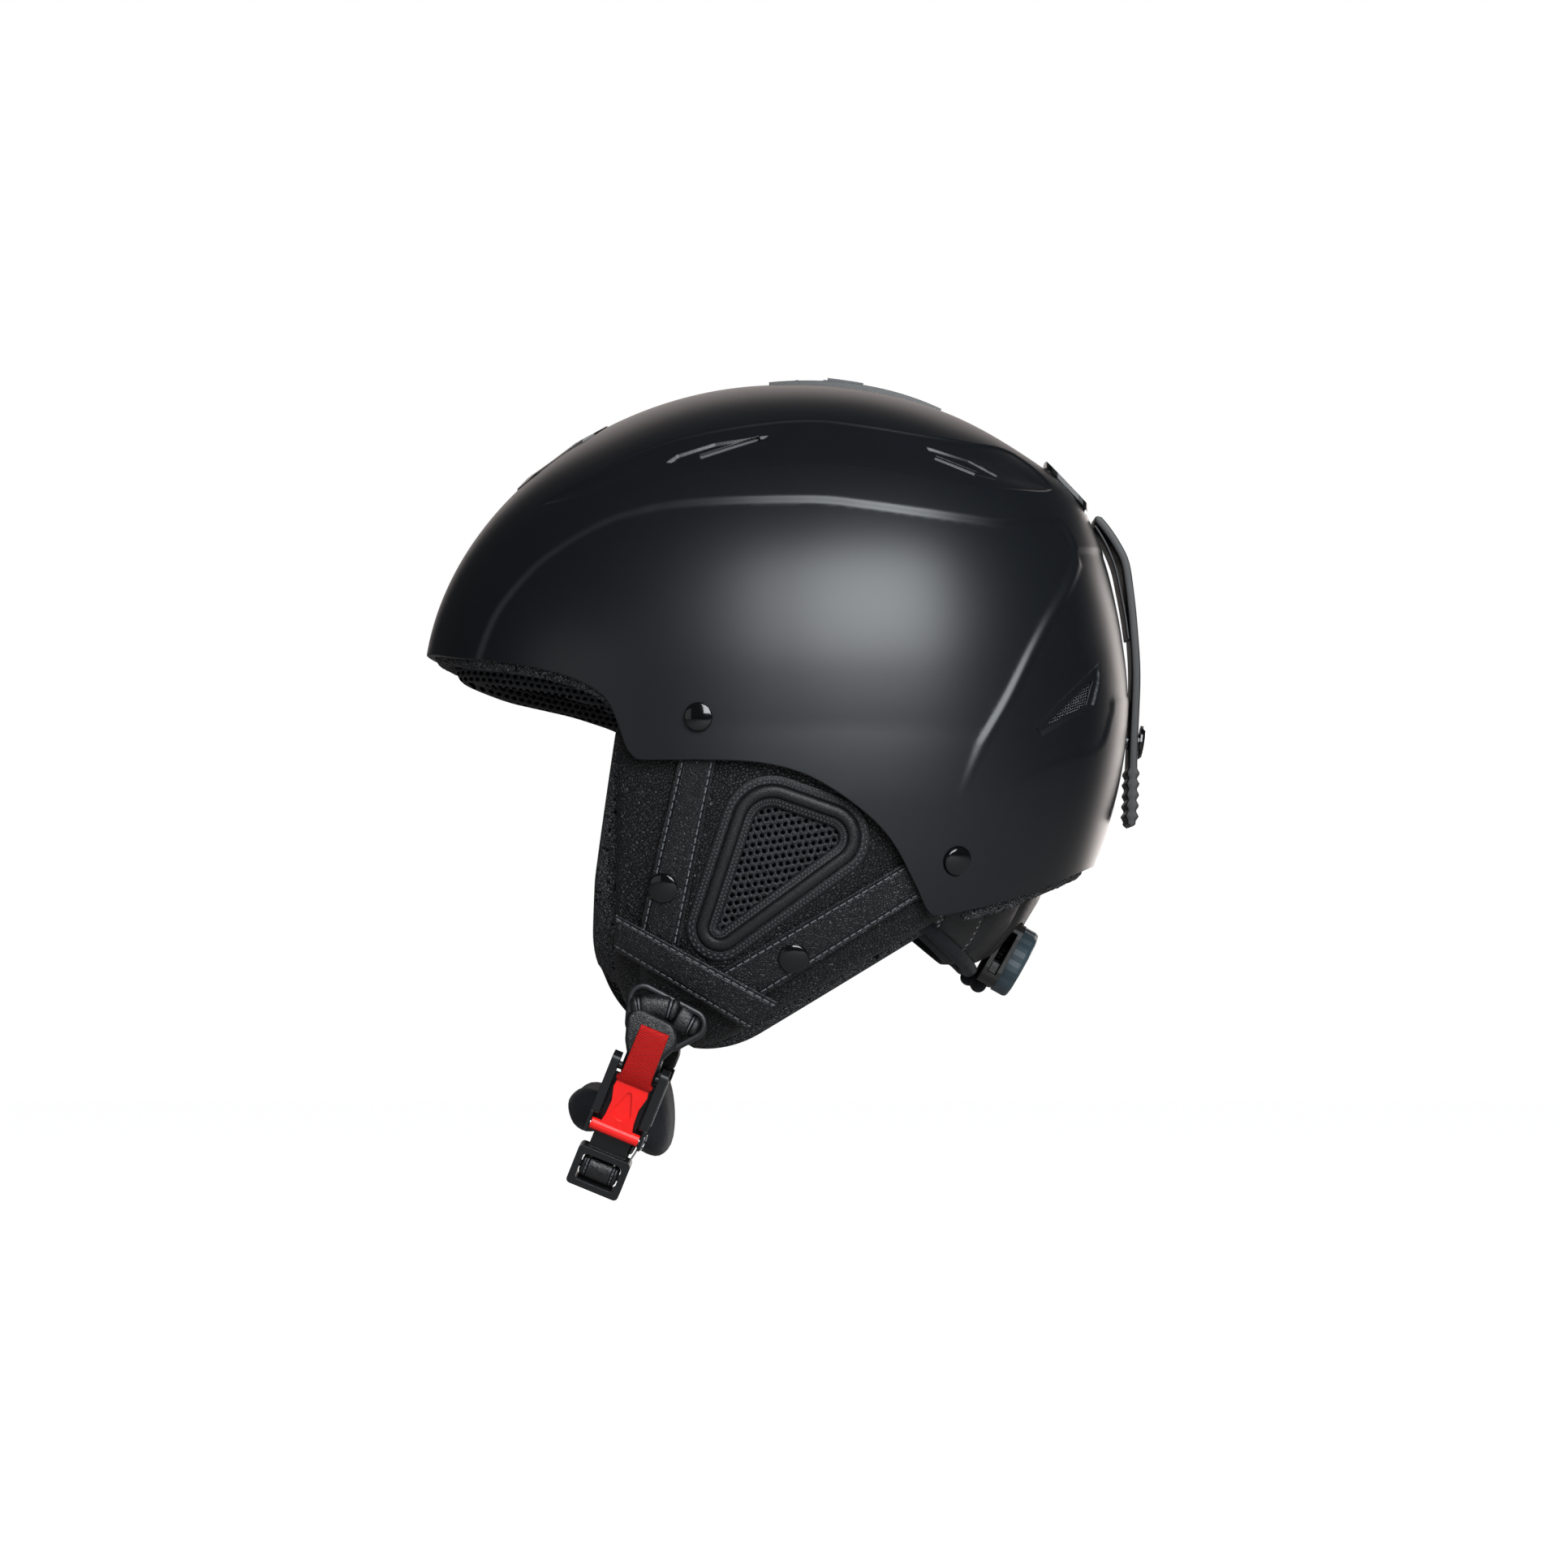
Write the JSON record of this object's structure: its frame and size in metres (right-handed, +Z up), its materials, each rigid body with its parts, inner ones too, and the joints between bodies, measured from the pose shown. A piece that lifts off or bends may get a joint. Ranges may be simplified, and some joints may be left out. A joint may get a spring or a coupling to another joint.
{
  "type": "ski helmet",
  "caption": "Hard-shell ski helmet with a sliding crown vent, side and rear vents, soft ear pads, a fit dial, a rear goggle strap and a chin strap with a quick-release buckle.",
  "frame": {"origin": "centre of the wearer's head inside the shell, midway between the ears' line and the crown, on the middle plane", "axes": "+Z up through the crown, -X the way the wearer faces, -Y the wearer's left, where the buckle is"},
  "size_m": [0.2825, 0.2144, 0.3204],
  "materials": {
    "shell": "satin black",
    "foam": "matte foam",
    "fleece": "brushed pile",
    "leather": "pebbled",
    "mesh": "open knit",
    "trim": "satin",
    "rubber": "smooth",
    "snap": "gloss black",
    "red": "moulded red",
    "dial": "satin blue-grey",
    "housing": "satin",
    "steel": "bright"
  },
  "bodies": {
    "helmet": {"outer_shell": "shell", "impact_liner": "foam", "front_edging": "fleece", "rear_edging": "fleece", "brow_pad": "fleece", "crown_pad": "fleece", "nape_pad": "fleece", "vent_rail": "trim", "front_vent_trim": "trim", "exhaust_grille": "trim", "exhaust_cover": "trim", "goggle_snap_stud": "snap", "neck_pad": "leather", "dial_housing": "housing", "side_pad_left": "fleece", "rear_mesh_left": "mesh", "rivet_front_left": "snap", "rivet_rear_left": "snap", "ear_pad_left": "leather", "ear_lining_left": "fleece", "ear_ring_left": "leather", "ear_mesh_left": "mesh", "front_strap_left": "leather", "rear_strap_left": "leather", "cross_band_left": "leather", "front_snap_left": "snap", "rear_snap_left": "snap", "yoke_ring_left": "trim", "yoke_hanger_left": "leather", "side_pad_right": "fleece", "rear_mesh_right": "mesh", "rivet_front_right": "snap", "rivet_rear_right": "snap", "ear_pad_right": "leather", "ear_lining_right": "fleece", "ear_ring_right": "leather", "ear_mesh_right": "mesh", "front_strap_right": "leather", "rear_strap_right": "leather", "cross_band_right": "leather", "front_snap_right": "snap", "rear_snap_right": "snap", "yoke_ring_right": "trim", "yoke_hanger_right": "leather"},
    "vent_slider": {"vent_slider": "trim", "slider_keeper": "trim"},
    "goggle_strap": {"goggle_strap": "rubber", "goggle_snap_cap": "snap"},
    "fit_dial": {"fit_dial": "dial", "dial_pinion": "trim"},
    "rack_left": {"rack_left": "trim"},
    "rack_right": {"rack_right": "trim"},
    "chin_strap": {"strap_loop_left": "leather", "chin_band": "leather", "chin_pad": "fleece", "buckle_body": "trim", "buckle_tongue": "trim", "lever_pin": "steel"},
    "release_lever": {"release_lever": "red", "pull_tab": "red"}
  },
  "joints": [
    {"name": "vent_slide", "type": "hinge", "parent": "helmet", "child": "vent_slider", "pos_m": [-0.00288, 0, -0.07819], "axis": [0, 1, 0], "range_deg": [0, 3.15]},
    {"name": "goggle_strap_lift", "type": "hinge", "parent": "helmet", "child": "goggle_strap", "pos_m": [0.12449, 0, 0.06759], "axis": [0, -1, 0], "range_deg": [0, 75], "stiffness_Nm_per_rad": 0.1},
    {"name": "dial_turn", "type": "hinge", "parent": "helmet", "child": "fit_dial", "pos_m": [0.0899, 0, -0.1056], "axis": [0.8746, 0, -0.4848], "range_deg": [0, 115]},
    {"name": "rack_left_slide", "type": "slide", "parent": "helmet", "child": "rack_left", "axis": [0, 1, 0], "range_m": [0, 0.0101]},
    {"name": "rack_right_slide", "type": "slide", "parent": "helmet", "child": "rack_right", "axis": [0, -1, 0], "range_m": [0, 0.0101]},
    {"name": "chin_strap_swing", "type": "hinge", "parent": "helmet", "child": "chin_strap", "pos_m": [-0.043, 0, -0.1322], "axis": [0, 1, 0], "range_deg": [-15, 40]},
    {"name": "lever_open", "type": "hinge", "parent": "chin_strap", "child": "release_lever", "pos_m": [-0.06145, -0.07532, -0.17061], "axis": [0.9252, 0, -0.3795], "range_deg": [0, 40], "stiffness_Nm_per_rad": 0.02}
  ],
  "couplings": [
    {"joint": "rack_left_slide", "follows": "dial_turn", "m_per_rad": 0.005},
    {"joint": "rack_right_slide", "follows": "dial_turn", "m_per_rad": 0.005}
  ]
}
